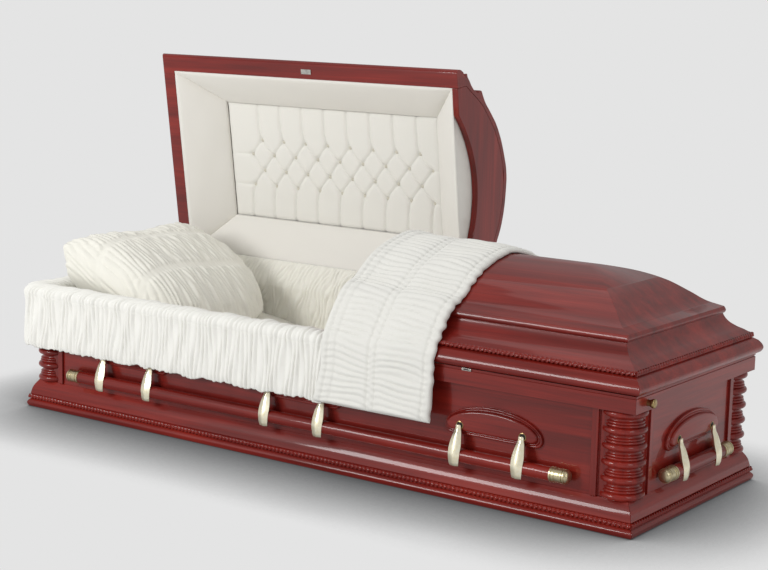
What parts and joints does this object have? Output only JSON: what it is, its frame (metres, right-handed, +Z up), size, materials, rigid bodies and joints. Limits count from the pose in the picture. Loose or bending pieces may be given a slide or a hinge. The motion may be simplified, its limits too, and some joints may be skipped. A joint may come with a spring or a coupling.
{
  "type": "funeral casket",
  "caption": "Wooden funeral casket with a two-part domed lid, open at the head, ribbed corner columns, swing bar handles and an ivory quilted lining.",
  "frame": {"origin": "middle of the underside of the base", "axes": "+X along the casket towards the foot end, -Y out of the front, +Z up"},
  "size_m": [2.137, 0.9625, 1.0714],
  "materials": {
    "cherry_wood": "gloss",
    "ivory_fabric": "matte",
    "satin_gold": "satin",
    "antique_brass": "satin",
    "plate_steel": "satin"
  },
  "bodies": {
    "root": {"floor_board": "cherry_wood", "base_moulding_front": "cherry_wood", "wall_panel_front": "cherry_wood", "top_rail_front": "cherry_wood", "base_moulding_foot": "cherry_wood", "wall_panel_foot": "cherry_wood", "top_rail_foot": "cherry_wood", "base_moulding_back": "cherry_wood", "wall_panel_back": "cherry_wood", "top_rail_back": "cherry_wood", "base_moulding_head": "cherry_wood", "wall_panel_head": "cherry_wood", "top_rail_head": "cherry_wood", "corner_column_front_foot": "cherry_wood", "corner_column_back_foot": "cherry_wood", "corner_column_back_head": "cherry_wood", "corner_column_front_head": "cherry_wood", "handle_plate_front_1": "cherry_wood", "handle_plate_front_2": "cherry_wood", "handle_plate_front_3": "cherry_wood", "handle_plate_foot": "cherry_wood", "handle_plate_back_1": "cherry_wood", "handle_plate_back_2": "cherry_wood", "handle_plate_back_3": "cherry_wood", "handle_plate_head": "cherry_wood", "interior_lining": "ivory_fabric", "mattress": "ivory_fabric", "pillow": "ivory_fabric", "skirt": "ivory_fabric", "lock_knob": "antique_brass", "hinge_head": "antique_brass", "hinge_foot": "antique_brass"},
    "head_lid": {"head_lid_shell": "cherry_wood", "head_lid_header": "cherry_wood", "head_lid_puff": "ivory_fabric", "head_lid_tufted_panel": "ivory_fabric", "head_lid_catch_plate": "plate_steel"},
    "foot_lid": {"foot_lid_shell": "cherry_wood", "foot_lid_header": "cherry_wood", "blanket": "ivory_fabric"},
    "front_handle": {"handle_bar_front": "cherry_wood", "handle_arm_front_1": "satin_gold", "handle_arm_front_2": "satin_gold", "handle_arm_front_3": "satin_gold", "handle_arm_front_4": "satin_gold", "handle_arm_front_5": "satin_gold", "handle_arm_front_6": "satin_gold"},
    "foot_handle": {"handle_bar_foot": "cherry_wood", "handle_arm_foot_1": "satin_gold", "handle_arm_foot_2": "satin_gold"},
    "back_handle": {"handle_bar_back": "cherry_wood", "handle_arm_back_1": "satin_gold", "handle_arm_back_2": "satin_gold", "handle_arm_back_3": "satin_gold", "handle_arm_back_4": "satin_gold", "handle_arm_back_5": "satin_gold", "handle_arm_back_6": "satin_gold"},
    "head_handle": {"handle_bar_head": "cherry_wood", "handle_arm_head_1": "satin_gold", "handle_arm_head_2": "satin_gold"}
  },
  "joints": [
    {"name": "head_lid_hinge", "type": "hinge", "parent": "root", "child": "head_lid", "pos_m": [0, 0.3615, 0.3587], "axis": [1, 0, 0], "range_deg": [0, 81.6], "deforming": ["skirt", "pillow"]},
    {"name": "foot_lid_hinge", "type": "hinge", "parent": "root", "child": "foot_lid", "pos_m": [0, 0.3615, 0.3587], "axis": [-1, 0, 0], "range_deg": [0, 81.6]},
    {"name": "front_handle_swing", "type": "hinge", "parent": "root", "child": "front_handle", "pos_m": [0, -0.3461, 0.197], "axis": [-1, 0, 0], "range_deg": [0, 75]},
    {"name": "back_handle_swing", "type": "hinge", "parent": "root", "child": "back_handle", "pos_m": [0, 0.3461, 0.197], "axis": [1, 0, 0], "range_deg": [0, 75]},
    {"name": "foot_handle_swing", "type": "hinge", "parent": "root", "child": "foot_handle", "pos_m": [1.0436, 0, 0.197], "axis": [0, -1, 0], "range_deg": [0, 75]},
    {"name": "head_handle_swing", "type": "hinge", "parent": "root", "child": "head_handle", "pos_m": [-1.0436, 0, 0.197], "axis": [0, 1, 0], "range_deg": [0, 75]}
  ]
}
